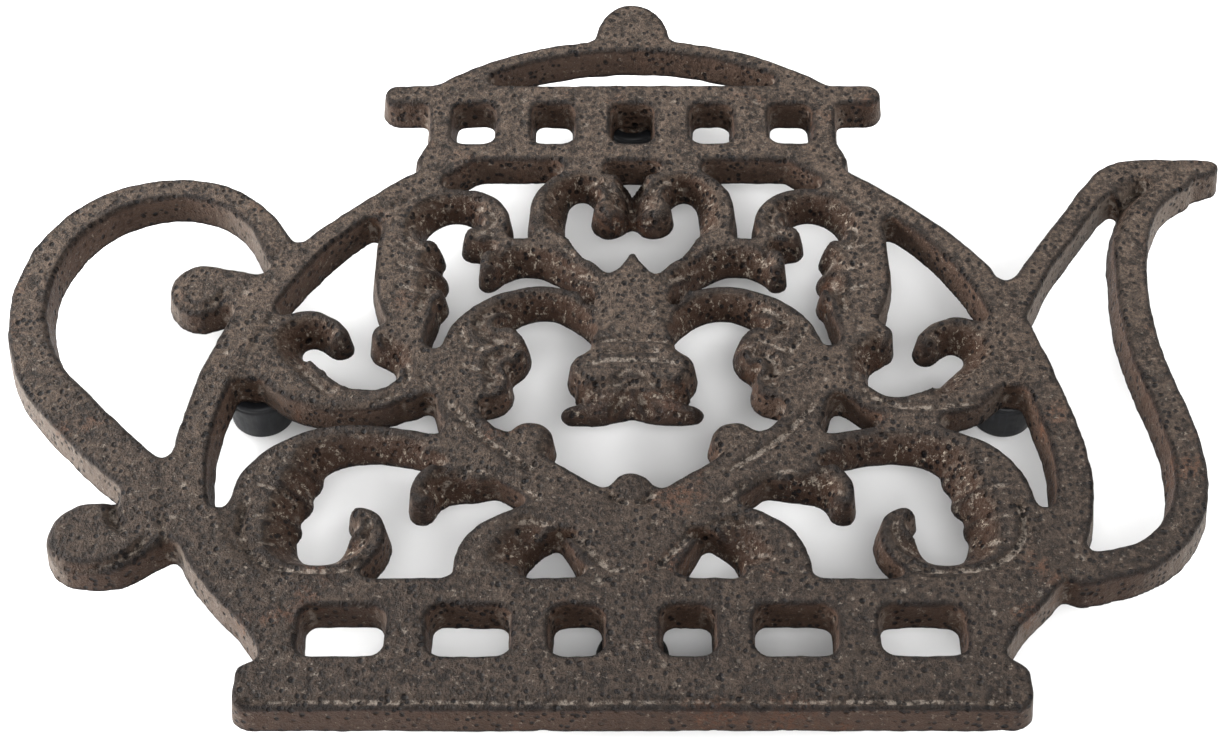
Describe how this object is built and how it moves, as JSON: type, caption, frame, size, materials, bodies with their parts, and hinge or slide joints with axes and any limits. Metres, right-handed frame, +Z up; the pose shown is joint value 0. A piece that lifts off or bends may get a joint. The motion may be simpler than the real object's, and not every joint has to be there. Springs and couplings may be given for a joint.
{
  "type": "cast iron trivet",
  "caption": "Openwork cast iron trivet in the outline of a teapot, with scroll and leaf tracery, on short rubber-capped feet.",
  "frame": {"origin": "on the table under the middle of the whole trivet's bounding box", "axes": "+X from the handle to the spout, +Y from the base to the lid knob, +Z up from the table through the flat top face"},
  "size_m": [0.2404, 0.1792, 0.016],
  "materials": {
    "cast_iron": "rough sand-cast iron with a dark rustic brown patina, dark pitting and bright worn edges",
    "rubber": "black moulded rubber, satin"
  },
  "bodies": {
    "root": {"rim_left": "cast_iron", "rim_right": "cast_iron", "lid_band": "cast_iron", "lid_arch": "cast_iron", "lid_knob": "cast_iron", "base_band": "cast_iron", "handle_loop": "cast_iron", "handle_upper_ball": "cast_iron", "handle_lower_curl": "cast_iron", "spout_front": "cast_iron", "spout_back": "cast_iron", "centre_stem": "cast_iron", "centre_petals": "cast_iron", "base_fan": "cast_iron", "heart_scroll_left": "cast_iron", "heart_scroll_right": "cast_iron", "shoulder_scroll_left": "cast_iron", "shoulder_scroll_right": "cast_iron", "rim_scroll_left": "cast_iron", "rim_scroll_right": "cast_iron", "upper_leaf_left": "cast_iron", "upper_leaf_right": "cast_iron", "ring_scroll_left": "cast_iron", "ring_scroll_right": "cast_iron", "lower_scroll_left": "cast_iron", "lower_scroll_right": "cast_iron", "lower_leaf_left": "cast_iron", "lower_leaf_right": "cast_iron", "base_petal_left": "cast_iron", "base_petal_right": "cast_iron", "foot_peg_left": "cast_iron", "foot_peg_right": "cast_iron", "foot_peg_back": "cast_iron", "foot_peg_front": "cast_iron", "rubber_foot_left": "rubber", "rubber_foot_right": "rubber", "rubber_foot_back": "rubber", "rubber_foot_front": "rubber"}
  },
  "joints": []
}
